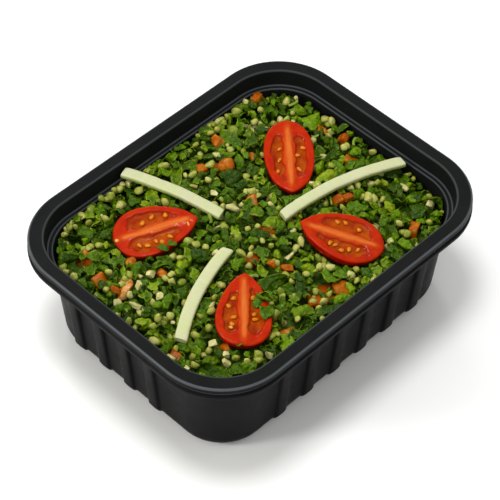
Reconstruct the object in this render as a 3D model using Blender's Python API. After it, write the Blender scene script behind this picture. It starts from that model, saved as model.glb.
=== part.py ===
"""Tabbouleh salad in the black tray that holds it, with tomato halves and cabbage strips on top.

Units are metres and +Z is up. The origin is the middle of the tray's flat underside,
and the tray's long sides run along X. Sizes below are written in millimetres times MM.
"""
import math

import bmesh
import bpy
from mathutils import Matrix, Vector, noise

MM = 0.001
COLLECTION_NAME = "tabbouleh_salad"

# Tray: outer sizes at the rim, then its sheet and its levels
TRAY_LENGTH = 170.0 * MM
TRAY_WIDTH = 134.4 * MM
TRAY_HEIGHT = 57.0 * MM
CORNER_RADIUS = 31.2 * MM
RADIUS_LOST_PER_INSET = 0.81
SHEET = 0.9 * MM
CORNER_STEPS = 8

# Insets are measured inwards from the outer edge of the rim
WALL_TOP_INSET = 8.95 * MM
WALL_FOOT_INSET = 13.0 * MM
WALL_TOP = 48.0 * MM
BASE_FILLET = 6.0 * MM
RIM_WIDTH = 6.6 * MM
RIM_FILLET = 1.0 * MM
SKIRT_HEIGHT = 6.3 * MM
GROOVE_DEPTH = 1.0 * MM
BAND_FOOT_INSET = 7.6 * MM
LEDGE_HEIGHT = 49.0 * MM
LEDGE_INSET = 9.8 * MM
SMALL_FILLET = 0.5 * MM

# Ribs moulded on the outside of the walls
RIB_WIDTH = 6.0 * MM
RIB_SIDE = 0.4 * MM
RIB_CROWN = 0.35 * MM
RIB_ROOT = 0.4 * MM
RIB_PITCH_LONG = 16.6 * MM
RIB_PITCH_SHORT = 15.4 * MM
RIBS_LONG = 6
RIBS_SHORT = 4
RIB_SHIFT_LONG = 3.5 * MM
RIB_SHIFT_SHORT = 7.8 * MM
RIB_STATIONS = (  # height, how far the rib stands out of the wall
    (1.4 * MM, 0.1 * MM),
    (2.6 * MM, 0.9 * MM),
    (5.5 * MM, 1.3 * MM),
    (26.0 * MM, 1.6 * MM),
    (46.0 * MM, 2.0 * MM),
    (47.3 * MM, 0.5 * MM),
)

# Salad heap
GAP = 0.3 * MM
HEAP_EDGE = 45.0 * MM
HEAP_DOME = 3.2 * MM
HEAP_LEAN_X = -0.014
HEAP_LEAN_Y = 0.022
RELIEF = 1.7 * MM
RELIEF_SIZE = 14.0 * MM
RELIEF_CELL = 5.6 * MM

# Tomato halves: middle of the cut face, turn of the pointed end, tilts, length, width, outline
TOMATO_DEPTH = 0.95
TOMATO_SEGMENTS = 20
TOMATO_RINGS = 12
TOMATO_HALVES = (
    dict(middle=(-31.4, 26.7, 51.0), turn=-30.2, pitch=-6.6, roll=8.8,
         length=37.1, width=23.6, taper=0.34, point=0.53),
    dict(middle=(40.1, 16.8, 51.0), turn=-131.5, pitch=7.5, roll=-1.6,
         length=39.0, width=22.2, taper=0.08, point=0.47),
    dict(middle=(22.7, -31.3, 50.5), turn=118.1, pitch=-9.2, roll=-4.5,
         length=37.3, width=23.5, taper=0.26, point=0.59),
    dict(middle=(-36.2, -31.2, 51.5), turn=43.7, pitch=-4.1, roll=5.0,
         length=37.0, width=22.1, taper=0.37, point=0.48),
)

# Cabbage strips: both ends of the middle line, and how far it bows to its left
STRIP_WIDTH = 5.6 * MM
STRIP_THICKNESS = 2.6 * MM
STRIP_EDGE = 0.6 * MM
STRIP_STEPS = 10
STRIPS = (
    dict(start=(-20.4, 58.4, 53.4), end=(-5.4, 13.2, 50.0), bow=1.9),
    dict(start=(12.5, -6.0, 50.2), end=(73.0, -20.4, 50.6), bow=4.0),
    dict(start=(-17.8, -3.1, 50.2), end=(-65.6, -24.3, 49.8), bow=-3.2),
)

COLOURS = {  # base colour, roughness
    "tray": ((0.012, 0.012, 0.012), 0.42),
    "salad": ((0.06, 0.17, 0.02), 0.55),
    "tomato": ((0.62, 0.05, 0.015), 0.25),
    "cabbage": ((0.66, 0.70, 0.42), 0.45),
}


def clear_scene():
    for obj in list(bpy.data.objects):
        bpy.data.objects.remove(obj)


def new_collection(name):
    collection = bpy.data.collections.new(name)
    bpy.context.scene.collection.children.link(collection)
    return collection


def material(name):
    colour, roughness = COLOURS[name]
    made = bpy.data.materials.new(name)
    made.use_nodes = True
    shader = made.node_tree.nodes["Principled BSDF"]
    shader.inputs["Base Color"].default_value = (*colour, 1.0)
    shader.inputs["Roughness"].default_value = roughness
    return made


def add_object(name, bm, collection, surface=None):
    """Make an object of a closed bmesh, with its faces turned outwards."""
    bm.normal_update()
    bmesh.ops.recalc_face_normals(bm, faces=bm.faces)
    mesh = bpy.data.meshes.new(name)
    bm.to_mesh(mesh)
    bm.free()
    mesh.shade_smooth()
    mesh.set_sharp_from_angle(angle=math.radians(35))
    if surface:
        mesh.materials.append(surface)
    obj = bpy.data.objects.new(name, mesh)
    collection.objects.link(obj)
    return obj


def as_cutter(obj):
    obj.hide_render = True
    obj.display_type = "WIRE"
    return obj


def boolean(obj, tool, operation):
    modifier = obj.modifiers.new(tool.name, "BOOLEAN")
    modifier.operation = operation
    modifier.object = tool


def loft(bm, rings):
    """Skin a row of rings that have as many points as each other, and close both ends."""
    rows = [[bm.verts.new(point) for point in ring] for ring in rings]
    for row, above in zip(rows, rows[1:]):
        for i, corner in enumerate(row):
            j = (i + 1) % len(row)
            bm.faces.new((corner, row[j], above[j], above[i]))
    bm.faces.new(reversed(rows[0]))
    bm.faces.new(rows[-1])


def rounded(corners, steps=3):
    """Turn (inset, height, radius) corners into profile points, with each radius as an arc."""
    points = []
    for i, (inset, height, radius) in enumerate(corners):
        corner = Vector((inset, height))
        if not radius:
            points.append(corner)
            continue
        before = (Vector(corners[i - 1][:2]) - corner).normalized()
        after = (Vector(corners[i + 1][:2]) - corner).normalized()
        half_angle = before.angle(after) / 2
        middle = corner + (before + after).normalized() * (radius / math.sin(half_angle))
        reach = radius / math.tan(half_angle)
        first = corner + before * reach - middle
        last = corner + after * reach - middle
        sweep = math.atan2(first.cross(last), first.dot(last))
        points += [middle + Matrix.Rotation(sweep * k / steps, 2) @ first for k in range(steps + 1)]
    return points


def outline(inset):
    """Rounded rectangle at an inset from the rim's edge, as (x, y) points, anticlockwise."""
    radius = CORNER_RADIUS - RADIUS_LOST_PER_INSET * inset
    straight_x = TRAY_LENGTH / 2 - inset - radius
    straight_y = TRAY_WIDTH / 2 - inset - radius
    points = []
    for quarter, (sign_x, sign_y) in enumerate(((1, 1), (-1, 1), (-1, -1), (1, -1))):
        for k in range(CORNER_STEPS + 1):
            angle = math.pi / 2 * (quarter + k / CORNER_STEPS)
            points.append((sign_x * straight_x + radius * math.cos(angle),
                           sign_y * straight_y + radius * math.sin(angle)))
    return points


def tray_profile():
    """The tray's section, from under the base, over the rim and down to its floor."""
    lip = TRAY_HEIGHT - SKIRT_HEIGHT
    under_rim = TRAY_HEIGHT - SHEET
    corners = (
        (WALL_FOOT_INSET + 2 * BASE_FILLET, 0, 0),
        (WALL_FOOT_INSET, 0, BASE_FILLET),
        (WALL_TOP_INSET, WALL_TOP, 0),
        (BAND_FOOT_INSET - SHEET, WALL_TOP + 0.1 * MM, 0),
        (RIM_WIDTH - SHEET, under_rim, 0),
        (1.2 * MM, under_rim, 0),
        (GROOVE_DEPTH + SHEET, lip + 2.7 * MM, 0),
        (SHEET, lip + 1.6 * MM, 0),
        (SHEET, lip, 0),
        (0, lip, 0),
        (0, lip + 1.6 * MM, 0),
        (GROOVE_DEPTH, lip + 2.3 * MM, 0),
        (GROOVE_DEPTH, lip + 3.1 * MM, 0),
        (0.2 * MM, lip + 3.7 * MM, 0),
        (0.2 * MM, TRAY_HEIGHT, RIM_FILLET),
        (RIM_WIDTH, TRAY_HEIGHT, SMALL_FILLET),
        (BAND_FOOT_INSET, LEDGE_HEIGHT, SMALL_FILLET),
        (LEDGE_INSET, LEDGE_HEIGHT - 0.1 * MM, SMALL_FILLET),
        (WALL_FOOT_INSET + SHEET, SHEET, BASE_FILLET - SHEET),
        (WALL_FOOT_INSET + 2 * BASE_FILLET, SHEET, 0),
    )
    return rounded(corners)


def outer_inset(height):
    """Inset of the outer wall at a height, along the base fillet and then the sloping wall."""
    slope = (WALL_FOOT_INSET - WALL_TOP_INSET) / WALL_TOP
    wall = WALL_FOOT_INSET - slope * height
    if height >= BASE_FILLET:
        return wall
    fillet_middle = WALL_FOOT_INSET + BASE_FILLET * (math.sqrt(1 + slope**2) - slope)
    reach = math.sqrt(BASE_FILLET**2 - (BASE_FILLET - height) ** 2)
    return max(wall, fillet_middle - reach)


def inner_inset(height):
    slope = (WALL_FOOT_INSET + SHEET - LEDGE_INSET) / (LEDGE_HEIGHT - SHEET)
    return LEDGE_INSET + slope * (LEDGE_HEIGHT - height)


def rib_section(height, stands_out, half_side, along):
    """Five points across a rib on the +Y wall, whose outer face swells a little."""
    wall = half_side - outer_inset(height)
    half = RIB_WIDTH / 2
    shape = (
        (half, -RIB_ROOT),
        (half - RIB_SIDE, stands_out),
        (0, stands_out + RIB_CROWN),
        (RIB_SIDE - half, stands_out),
        (-half, -RIB_ROOT),
    )
    return [Vector((along + across, wall + out, height)) for across, out in shape]


def add_wall_ribs(bm, count, pitch, shift, half_side, turn):
    """Ribs of one wall, made on the +Y side and turned to their own."""
    turned = Matrix.Rotation(turn, 3, "Z")
    for k in range(count):
        along = (k - (count - 1) / 2) * pitch - shift
        sections = [rib_section(height, out, half_side, along) for height, out in RIB_STATIONS]
        loft(bm, [[turned @ point for point in section] for section in sections])


def make_tray(collection, cutters):
    bm = bmesh.new()
    rings = [[Vector((*point, spot.y)) for point in outline(spot.x)] for spot in tray_profile()]
    loft(bm, rings)
    tray = add_object("tray", bm, collection, material("tray"))

    bm = bmesh.new()
    for half_turn in (0, math.pi):
        add_wall_ribs(bm, RIBS_LONG, RIB_PITCH_LONG, RIB_SHIFT_LONG, TRAY_WIDTH / 2, half_turn)
        add_wall_ribs(bm, RIBS_SHORT, RIB_PITCH_SHORT, -RIB_SHIFT_SHORT, TRAY_LENGTH / 2,
                      half_turn + math.pi / 2)
    boolean(tray, as_cutter(add_object("wall_ribs", bm, cutters)), "UNION")


def heap_height(x, y):
    """Top of the salad: a low dome that leans a little, with uneven relief."""
    dome = HEAP_DOME * (1 - (2 * x / TRAY_LENGTH) ** 2) * (1 - (2 * y / TRAY_WIDTH) ** 2)
    lean = HEAP_LEAN_X * x + HEAP_LEAN_Y * y
    spot = Vector((x, y, 0)) / RELIEF_SIZE
    relief = RELIEF * (noise.noise(spot) + 0.6 * noise.noise(spot * 2.1))
    return HEAP_EDGE + dome + lean + relief


def make_air(cutters):
    """The space over the salad: a block whose underside has the salad's relief."""
    bm = bmesh.new()
    bmesh.ops.create_grid(bm, x_segments=round(TRAY_LENGTH / RELIEF_CELL),
                          y_segments=round(TRAY_WIDTH / RELIEF_CELL), size=0.5)
    for vert in bm.verts:
        vert.co.x *= TRAY_LENGTH
        vert.co.y *= TRAY_WIDTH
        vert.co.z = heap_height(vert.co.x, vert.co.y)
    bmesh.ops.triangulate(bm, faces=bm.faces)
    rim = [edge for edge in bm.edges if edge.is_boundary]
    raised = bmesh.ops.extrude_edge_only(bm, edges=rim)["geom"]
    top = [item for item in raised if isinstance(item, bmesh.types.BMVert)]
    for vert in top:
        vert.co.z = 2 * TRAY_HEIGHT
    bmesh.ops.contextual_create(bm, geom=top)
    return as_cutter(add_object("air", bm, cutters))


def make_heap(collection, cutters):
    """The salad fills the tray's inside, a gap away from its walls, up to its uneven top."""
    floor = SHEET + GAP
    foot = WALL_FOOT_INSET + SHEET + GAP
    profile = rounded((
        (foot + 2 * BASE_FILLET, floor, 0),
        (foot, floor, BASE_FILLET - SHEET - GAP),
        (inner_inset(TRAY_HEIGHT) + GAP, TRAY_HEIGHT, 0),
    ))
    bm = bmesh.new()
    loft(bm, [[Vector((*point, spot.y)) for point in outline(spot.x)] for spot in profile])
    heap = add_object("salad_heap", bm, collection, material("salad"))
    boolean(heap, make_air(cutters), "DIFFERENCE")
    return heap


def tomato_shape(half, gap=0.0):
    """Egg-shaped tomato lying along X with its point at +X."""
    bm = bmesh.new()
    bmesh.ops.create_uvsphere(bm, u_segments=TOMATO_SEGMENTS, v_segments=TOMATO_RINGS, radius=1)
    half_length = half["length"] * MM / 2 + gap
    half_width = half["width"] * MM / 2 + gap
    for vert in bm.verts:
        y, z, along = vert.co
        bulge = (1 - half["taper"] * along) * max(1 - along**2, 0.01) ** (half["point"] - 0.5)
        vert.co = (along * half_length, y * bulge * half_width,
                   z * bulge * half_width * TOMATO_DEPTH)
    return bm


def place_tomato(obj, half):
    obj.location = Vector(half["middle"]) * MM
    obj.rotation_euler = [math.radians(half[way]) for way in ("roll", "pitch", "turn")]


def make_tomato_half(number, half, collection, cutters, surface):
    """A half with its cut face up, and the whole tomato round it that clears its place."""
    bm = tomato_shape(half)
    cut = bmesh.ops.bisect_plane(bm, geom=bm.verts[:] + bm.edges[:] + bm.faces[:], dist=1e-6,
                                 plane_co=(0, 0, 0), plane_no=(0, 0, 1), clear_outer=True)
    rim = [item for item in cut["geom_cut"] if isinstance(item, bmesh.types.BMEdge)]
    bmesh.ops.holes_fill(bm, edges=rim)
    place_tomato(add_object(f"tomato_half_{number}", bm, collection, surface), half)

    room = as_cutter(add_object(f"tomato_room_{number}", tomato_shape(half, GAP), cutters))
    place_tomato(room, half)
    return room


def strip_shape(strip, gap=0.0):
    """Strip with its start at the origin, along +X, bowed to its left, with eased edges."""
    length = (Vector(strip["end"]) - Vector(strip["start"])).length * MM
    half_width = STRIP_WIDTH / 2 + gap
    half_thickness = STRIP_THICKNESS / 2 + gap
    section = []
    for side, up, first in ((1, -1, -1), (1, 1, 1), (-1, 1, 1), (-1, -1, -1)):
        eased_flat = (side * (half_width - STRIP_EDGE), up * half_thickness)
        eased_side = (side * half_width, up * (half_thickness - STRIP_EDGE))
        section += [eased_flat, eased_side] if side * first < 0 else [eased_side, eased_flat]
    rings = []
    for k in range(STRIP_STEPS + 1):
        part = k / STRIP_STEPS
        x = part * (length + 2 * gap) - gap
        bow = 4 * part * (1 - part) * strip["bow"] * MM
        rings.append([Vector((x, bow + across, up)) for across, up in section])
    bm = bmesh.new()
    loft(bm, rings)
    return bm


def place_strip(obj, strip):
    start = Vector(strip["start"])
    along = Vector(strip["end"]) - start
    obj.location = start * MM
    obj.rotation_euler = (0, -math.asin(along.z / along.length), math.atan2(along.y, along.x))


def make_strip(number, strip, collection, cutters, surface):
    place_strip(add_object(f"cabbage_strip_{number}", strip_shape(strip), collection, surface), strip)
    room = as_cutter(add_object(f"strip_room_{number}", strip_shape(strip, GAP), cutters))
    place_strip(room, strip)
    return room


def main():
    clear_scene()
    collection = new_collection(COLLECTION_NAME)
    cutters = new_collection("cutters")
    make_tray(collection, cutters)
    heap = make_heap(collection, cutters)
    tomato = material("tomato")
    cabbage = material("cabbage")
    rooms = [make_tomato_half(number, half, collection, cutters, tomato)
             for number, half in enumerate(TOMATO_HALVES, 1)]
    rooms += [make_strip(number, strip, collection, cutters, cabbage)
              for number, strip in enumerate(STRIPS, 1)]
    for room in rooms:
        boolean(heap, room, "DIFFERENCE")


main()
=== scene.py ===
"""Looks of the tabbouleh salad: tray, scattered salad, tomato halves, cabbage strips and studio."""
import math

import bmesh
import bpy
import numpy as np
from mathutils import Euler, Matrix, Vector, noise
from mathutils.bvhtree import BVHTree


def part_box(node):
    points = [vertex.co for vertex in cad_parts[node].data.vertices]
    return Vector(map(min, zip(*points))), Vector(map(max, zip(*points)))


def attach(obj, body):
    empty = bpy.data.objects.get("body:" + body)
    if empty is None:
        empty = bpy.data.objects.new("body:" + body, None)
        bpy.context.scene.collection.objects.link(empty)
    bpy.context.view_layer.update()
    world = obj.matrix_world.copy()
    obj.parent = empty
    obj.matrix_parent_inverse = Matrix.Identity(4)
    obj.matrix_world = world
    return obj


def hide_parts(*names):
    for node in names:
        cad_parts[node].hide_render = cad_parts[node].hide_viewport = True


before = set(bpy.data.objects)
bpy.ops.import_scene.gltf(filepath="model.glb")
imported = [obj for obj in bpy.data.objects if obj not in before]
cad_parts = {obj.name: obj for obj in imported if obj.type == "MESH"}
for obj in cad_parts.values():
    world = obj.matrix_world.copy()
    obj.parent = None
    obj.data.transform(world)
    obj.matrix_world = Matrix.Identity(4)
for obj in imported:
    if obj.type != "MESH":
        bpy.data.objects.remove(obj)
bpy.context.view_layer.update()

MM = 0.001
TRAY_LOW, TRAY_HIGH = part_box("tray")
TRAY_LENGTH = TRAY_HIGH[0] - TRAY_LOW[0]
TRAY_WIDTH = TRAY_HIGH[1] - TRAY_LOW[1]
TRAY_HEIGHT = TRAY_HIGH[2]

# Tray sizes, as in the CAD; insets are measured inwards from the rim's outer edge
CORNER_RADIUS = 31.2 * MM
RADIUS_LOST_PER_INSET = 0.81
SHEET = 0.9 * MM
WALL_TOP_INSET = 8.95 * MM
WALL_FOOT_INSET = 13.0 * MM
WALL_TOP = 48.0 * MM
BASE_FILLET = 6.0 * MM
RIM_WIDTH = 6.6 * MM
SKIRT_HEIGHT = 6.3 * MM
GROOVE_DEPTH = 1.0 * MM
BAND_FOOT_INSET = 7.6 * MM
LEDGE_HEIGHT = 49.0 * MM
LEDGE_INSET = 9.8 * MM
RIB_WIDTH = 6.0 * MM
RIB_CROWN = 0.35 * MM
RIBS_LONG = dict(count=6, pitch=16.6 * MM, shift=3.5 * MM)
RIBS_SHORT = dict(count=4, pitch=15.4 * MM, shift=-7.8 * MM)

# Toppings, as in the CAD
TOMATO_DEPTH = 0.95
TIP_SHARPNESS = 0.20

# Stalk scars and pale fibres on the cut faces, by half: x, y, length, width in mm, turn in degrees
PALE_BITS = {
    1: ((-46.8, 34.2, 2.4, 1.9, 0), (-21.6, 21.0, 3.6, 0.9, -35), (-19.2, 21.2, 3.2, 0.9, 60),
        (-20.2, 18.2, 3.2, 1.0, 95)),
    2: (),
    3: (),
    4: ((-47.0, -34.3, 2.2, 1.6, 80),),
}
TOMATO_HALVES = (
    dict(middle=(-31.4, 26.7, 51.0), turn=-30.2, pitch=-6.6, roll=8.8,
         length=37.1, width=23.6, taper=0.34, point=0.53),
    dict(middle=(40.1, 16.8, 51.0), turn=-131.5, pitch=7.5, roll=-1.6,
         length=39.0, width=22.2, taper=0.08, point=0.47),
    dict(middle=(22.7, -31.3, 50.5), turn=118.1, pitch=-9.2, roll=-4.5,
         length=37.3, width=23.5, taper=0.26, point=0.59),
    dict(middle=(-36.2, -31.2, 51.5), turn=43.7, pitch=-4.1, roll=5.0,
         length=37.0, width=22.1, taper=0.37, point=0.48),
)
STRIP_WIDTH = 5.6 * MM
STRIP_THICKNESS = 2.6 * MM
STRIPS = (
    dict(start=(-20.4, 58.4, 53.4), end=(-5.4, 13.2, 50.0), bow=1.9),
    dict(start=(12.5, -6.0, 50.2), end=(73.0, -20.4, 50.6), bow=4.0),
    dict(start=(-17.8, -3.1, 50.2), end=(-65.6, -24.3, 49.8), bow=-3.2),
)


# ---------------------------------------------------------------- meshes

def mesh_piece(name, verts, faces, surface, values=None, sharp=None):
    """Make an object of numpy vertices and equal-sided faces, with named values on its points."""
    faces = np.asarray(faces, np.int32)
    verts = np.asarray(verts, np.float32)
    count, sides = faces.shape
    mesh = bpy.data.meshes.new(name)
    mesh.vertices.add(len(verts))
    mesh.vertices.foreach_set("co", verts.ravel())
    mesh.loops.add(count * sides)
    mesh.loops.foreach_set("vertex_index", faces.ravel())
    mesh.polygons.add(count)
    mesh.polygons.foreach_set("loop_start", np.arange(0, count * sides, sides, dtype=np.int32))
    mesh.update(calc_edges=True)
    mesh.validate()
    for key, data in (values or {}).items():
        data = np.asarray(data, np.float32)
        kind, field = ("FLOAT", "value") if data.ndim == 1 else ("FLOAT_VECTOR", "vector")
        mesh.attributes.new(key, kind, "POINT").data.foreach_set(field, data.ravel())
    mesh.shade_smooth()
    if sharp:
        mesh.set_sharp_from_angle(angle=math.radians(sharp))
    mesh.materials.append(surface)
    obj = bpy.data.objects.new(name, mesh)
    bpy.context.scene.collection.objects.link(obj)
    return obj


def place(piece, slot, *nodes):
    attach(piece, "root")
    if nodes:
        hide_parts(*nodes)


def ring_faces(rings, around, closed_first=False, closed_last=False):
    """Quads between rings of points; closed_first and closed_last are not used."""
    faces = []
    for k in range(rings - 1):
        a = k * around + np.arange(around)
        b = k * around + (np.arange(around) + 1) % around
        faces.append(np.stack([a, b, b + around, a + around], axis=1))
    return np.concatenate(faces)


def triangles(quads):
    return np.concatenate([quads[:, [0, 1, 2]], quads[:, [0, 2, 3]]])


def fan(middle, ring, flip=False):
    """Triangles from a middle point to a ring of point numbers."""
    after = np.roll(ring, -1)
    middles = np.full(len(ring), middle)
    order = (middles, after, ring) if flip else (middles, ring, after)
    return np.stack(order, axis=1)


def smoothstep(low, high, value):
    part = np.clip((value - low) / (high - low), 0, 1)
    return part * part * (3 - 2 * part)


# ---------------------------------------------------------------- materials

class Surface:
    """A Principled material with short calls for the nodes that feed it."""

    def __init__(self, name, **sockets):
        self.material = bpy.data.materials.new(name)
        self.material.use_nodes = True
        self.tree = self.material.node_tree
        self.shader = self.tree.nodes["Principled BSDF"]
        for key, value in sockets.items():
            self.shader.inputs[key.replace("_", " ")].default_value = value

    def node(self, kind, settings=None, **inputs):
        made = self.tree.nodes.new(kind)
        for key, value in (settings or {}).items():
            setattr(made, key, value)
        for key, value in inputs.items():
            socket = made.inputs[int(key[1:]) if key[0] == "i" and key[1:].isdigit() else key.replace("_", " ")]
            if isinstance(value, bpy.types.NodeSocket):
                self.tree.links.new(value, socket)
            else:
                socket.default_value = value
        return made

    def point(self, name):
        return self.node("ShaderNodeAttribute", dict(attribute_name=name))

    def place(self):
        return self.node("ShaderNodeNewGeometry").outputs["Position"]

    def noise(self, scale, detail=3.0, roughness=0.5, vector=None):
        vector = vector or self.place()
        return self.node("ShaderNodeTexNoise", Vector=vector, Scale=scale, Detail=detail,
                         Roughness=roughness).outputs["Fac"]

    def maths(self, operation, a, b=0.0, clamp=False):
        return self.node("ShaderNodeMath", dict(operation=operation, use_clamp=clamp),
                         i0=a, i1=b).outputs[0]

    def spread(self, value, low, high, to_low=0.0, to_high=1.0):
        return self.node("ShaderNodeMapRange", Value=value, From_Min=low, From_Max=high,
                         To_Min=to_low, To_Max=to_high).outputs[0]

    def mix(self, factor, a, b):
        made = self.tree.nodes.new("ShaderNodeMix")
        made.data_type = "RGBA"
        for socket, value in ((made.inputs[0], factor), (made.inputs[6], a), (made.inputs[7], b)):
            if isinstance(value, bpy.types.NodeSocket):
                self.tree.links.new(value, socket)
            elif socket is made.inputs[0]:
                socket.default_value = value
            else:
                socket.default_value = (*value, 1.0)
        return made.outputs[2]

    def ramp(self, value, stops):
        made = self.node("ShaderNodeValToRGB", Fac=value)
        elements = made.color_ramp.elements
        while len(elements) < len(stops):
            elements.new(0.5)
        for element, (position, colour) in zip(elements, stops):
            element.position = position
            element.color = (*colour, 1.0)
        return made.outputs[0]

    def bump(self, height, strength, distance):
        made = self.node("ShaderNodeBump", Height=height, Strength=strength, Distance=distance)
        self.link(made.outputs[0], "Normal")

    def link(self, socket, to):
        self.tree.links.new(socket, self.shader.inputs[to])


def tone(red, green, blue):
    """Linear colour of 0 to 255 screen values."""
    return tuple(((v / 255 + 0.055) / 1.055) ** 2.4 if v > 10 else v / 255 / 12.92
                 for v in (red, green, blue))


def tray_surface():
    s = Surface("black_plastic", Specular_IOR_Level=0.035)
    broad = s.noise(60.0, 4.0)
    edge = s.point("edge").outputs["Fac"]
    plastic = s.mix(s.spread(broad, 0.3, 0.7), (0.0068, 0.0077, 0.0075), (0.0094, 0.0101, 0.0096))
    # Painted highlight: the fillets' thin light lines are painted into the base colour where the edge value is
    # set; roughness is lower there too.
    s.link(s.mix(edge, plastic, (0.072, 0.079, 0.085)), "Base Color")
    rough = s.spread(s.noise(240.0, 5.0), 0.3, 0.7, 0.36, 0.48)
    s.link(s.maths("SUBTRACT", rough, s.maths("MULTIPLY", edge, 0.22)), "Roughness")
    s.bump(s.noise(1500.0, 2.0), 0.12, 0.0002)
    return s.material


def core_surface():
    s = Surface("salad_shade", Roughness=0.7, Specular_IOR_Level=0.2)
    s.link(s.ramp(s.noise(260.0, 4.0), ((0.3, tone(36, 62, 0)), (0.7, tone(70, 102, 2)))),
           "Base Color")
    s.bump(s.noise(500.0, 3.0), 0.6, 0.001)
    return s.material


def parsley_surface(name, dark, middle, light, edge):
    s = Surface(name, Specular_IOR_Level=0.13, Subsurface_Weight=0.12, Subsurface_Scale=0.0006)
    s.shader.inputs["Subsurface Radius"].default_value = (0.7, 1.0, 0.2)
    shade = s.point("shade").outputs["Fac"]
    leaf = s.point("leaf").outputs["Vector"]
    apart = s.node("ShaderNodeSeparateXYZ", Vector=leaf).outputs
    blister = s.node("ShaderNodeTexVoronoi", dict(feature="SMOOTH_F1"), Vector=s.place(),
                     Scale=520.0, Smoothness=0.5, Randomness=1.0).outputs["Distance"]
    puff_bump_and_shade = s.spread(blister, 0.05, 0.75, 1.0, 0.0)
    mottle = s.noise(330.0, 4.0, 0.55)
    level = s.maths("ADD", shade, s.spread(mottle, 0.28, 0.72, -0.30, 0.26))
    # Painted shade and highlight: the blisters' hollows are darkened and their tops lightened in the colour,
    # besides being raised by the bump.
    level = s.maths("ADD", level, s.spread(puff_bump_and_shade, 0.1, 0.9, -0.24, 0.16), clamp=True)
    base = s.ramp(level, ((0.0, dark), (0.5, middle), (1.0, light)))
    # Painted highlight: leaf rims are lightened in patches towards the edge colour.
    rim = s.spread(apart["Z"], 0.78, 1.0, 0.0, 0.8)
    patchy = s.spread(s.noise(210.0, 2.0), 0.40, 0.60)
    s.link(s.mix(s.maths("MULTIPLY", rim, patchy), base, edge), "Base Color")
    s.link(s.spread(s.noise(650.0, 3.0), 0.38, 0.62, 0.10, 0.45), "Roughness")
    height = s.maths("ADD", puff_bump_and_shade, s.maths("MULTIPLY", s.noise(1300.0, 2.0), 0.5))
    s.bump(height, 0.75, 0.0009)
    return s.material


def bulgur_surface():
    s = Surface("bulgur", Specular_IOR_Level=0.2, Coat_Weight=0.15, Coat_Roughness=0.1,
                Subsurface_Weight=0.35, Subsurface_Scale=0.0012)
    s.shader.inputs["Subsurface Radius"].default_value = (1.0, 0.9, 0.35)
    shade = s.point("shade").outputs["Fac"]
    level = s.maths("ADD", shade, s.spread(s.noise(500.0, 3.0), 0.3, 0.7, -0.2, 0.2), clamp=True)
    s.link(s.ramp(level, ((0.0, tone(104, 122, 22)), (0.35, tone(144, 150, 54)),
                          (0.75, tone(172, 171, 90)), (1.0, tone(192, 187, 126)))), "Base Color")
    s.link(s.spread(s.noise(900.0), 0.3, 0.7, 0.22, 0.45), "Roughness")
    s.bump(s.noise(900.0, 3.0), 0.4, 0.0004)
    return s.material


def dice_surface():
    s = Surface("tomato_dice", Specular_IOR_Level=0.1, Coat_Weight=0.06, Coat_Roughness=0.1,
                Subsurface_Weight=0.3, Subsurface_Scale=0.0015)
    s.shader.inputs["Subsurface Radius"].default_value = (1.0, 0.4, 0.15)
    shade = s.point("shade").outputs["Fac"]
    level = s.maths("ADD", shade, s.spread(s.noise(330.0, 4.0), 0.35, 0.65, -0.36, 0.32), clamp=True)
    s.link(s.ramp(level, ((0.0, tone(134, 60, 0)), (0.5, tone(160, 82, 2)),
                          (0.8, tone(176, 104, 18)), (1.0, tone(192, 142, 80)))), "Base Color")
    s.link(s.spread(s.noise(700.0), 0.3, 0.7, 0.15, 0.35), "Roughness")
    s.bump(s.noise(420.0, 2.0), 0.5, 0.0008)
    return s.material


def pale_surface(name, low, high):
    s = Surface(name, Specular_IOR_Level=0.4, Subsurface_Weight=0.25, Subsurface_Scale=0.0012)
    s.link(s.ramp(s.noise(420.0, 4.0), ((0.3, low), (0.7, high))), "Base Color")
    s.link(s.spread(s.noise(800.0), 0.3, 0.7, 0.25, 0.45), "Roughness")
    s.bump(s.noise(900.0, 3.0), 0.35, 0.0004)
    return s.material


def strip_surface():
    s = Surface("cabbage_strip", Specular_IOR_Level=0.3, Subsurface_Weight=0.2,
                Subsurface_Scale=0.0015)
    edge = s.point("edge").outputs["Fac"]
    spot = s.point("spot").outputs["Vector"]
    fibres = s.node("ShaderNodeTexNoise", Vector=s.node(
        "ShaderNodeVectorMath", dict(operation="MULTIPLY"),
        i0=spot, i1=(1.0, 0.16, 0.3)).outputs[0], Scale=900.0, Detail=4.0).outputs["Fac"]
    pale = s.mix(s.spread(fibres, 0.1, 0.9), tone(178, 181, 138), tone(191, 192, 158))
    blotch = s.spread(s.noise(90.0, 3.0), 0.35, 0.7, 0.0, 0.5)
    pale = s.mix(blotch, pale, tone(180, 190, 122))
    s.link(s.mix(edge, pale, tone(150, 164, 66)), "Base Color")
    s.link(s.spread(s.noise(500.0), 0.3, 0.7, 0.35, 0.5), "Roughness")
    s.bump(fibres, 0.05, 0.0003)
    return s.material


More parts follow.
